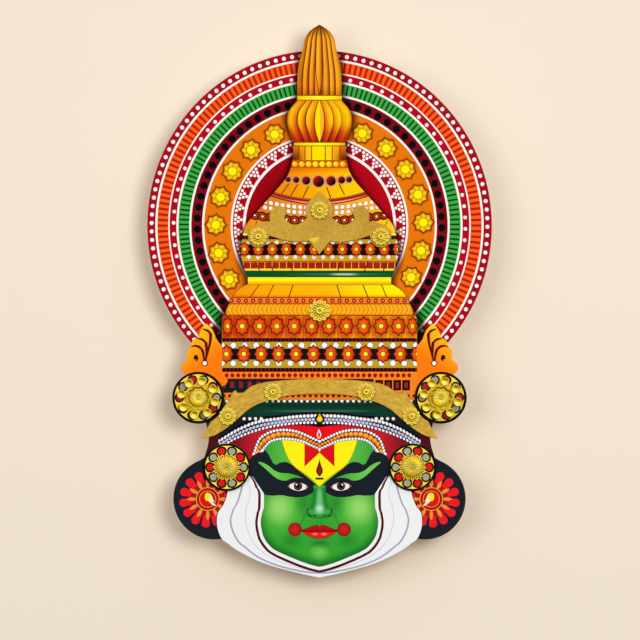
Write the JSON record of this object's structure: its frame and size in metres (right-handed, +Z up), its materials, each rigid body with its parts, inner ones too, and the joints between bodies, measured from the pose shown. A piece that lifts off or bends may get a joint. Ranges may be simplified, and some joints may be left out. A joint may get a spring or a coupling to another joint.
{
  "type": "kathakali mask wall plaque",
  "caption": "Flat layered wall mask of a kathakali dancer: round printed halo, tall crown and painted face board, ear discs, gilded plates and moulded flower studs.",
  "frame": {"origin": "middle of the halo board's back face, which lies flat on the wall", "axes": "+Z up towards the finial's tip, +Y into the wall, -Y the printed front, +X to the viewer's right"},
  "size_m": [0.382, 0.0239, 0.611],
  "materials": {
    "printed_halo": "satin print on fibreboard, plain brown back",
    "printed_front": "satin print on fibreboard, plain brown back",
    "printed_disc": "satin print on thin fibreboard",
    "gilt_sheet": "matt brushed gold foil on thin fibreboard",
    "gold_plastic": "bright moulded gold"
  },
  "bodies": {
    "root": {"halo_board": "printed_halo", "front_board": "printed_front", "crest_plate": "gilt_sheet", "brow_plate": "gilt_sheet", "upper_ear_disc_left": "printed_disc", "lower_ear_disc_left": "printed_disc", "upper_rosette_left": "gold_plastic", "lower_rosette_left": "gold_plastic", "brow_end_stud_left": "gold_plastic", "brow_top_stud_left": "gold_plastic", "crest_end_stud_left": "gold_plastic", "cup_left_1": "gold_plastic", "cup_left_2": "gold_plastic", "cup_left_3": "gold_plastic", "cup_left_4": "gold_plastic", "cup_left_5": "gold_plastic", "cup_left_6": "gold_plastic", "cup_left_7": "gold_plastic", "cup_left_8": "gold_plastic", "upper_ear_disc_right": "printed_disc", "lower_ear_disc_right": "printed_disc", "upper_rosette_right": "gold_plastic", "lower_rosette_right": "gold_plastic", "brow_end_stud_right": "gold_plastic", "brow_top_stud_right": "gold_plastic", "crest_end_stud_right": "gold_plastic", "cup_right_1": "gold_plastic", "cup_right_2": "gold_plastic", "cup_right_3": "gold_plastic", "cup_right_4": "gold_plastic", "cup_right_5": "gold_plastic", "cup_right_6": "gold_plastic", "cup_right_7": "gold_plastic", "cup_right_8": "gold_plastic", "crest_stud": "gold_plastic", "crown_stud": "gold_plastic"}
  },
  "joints": []
}
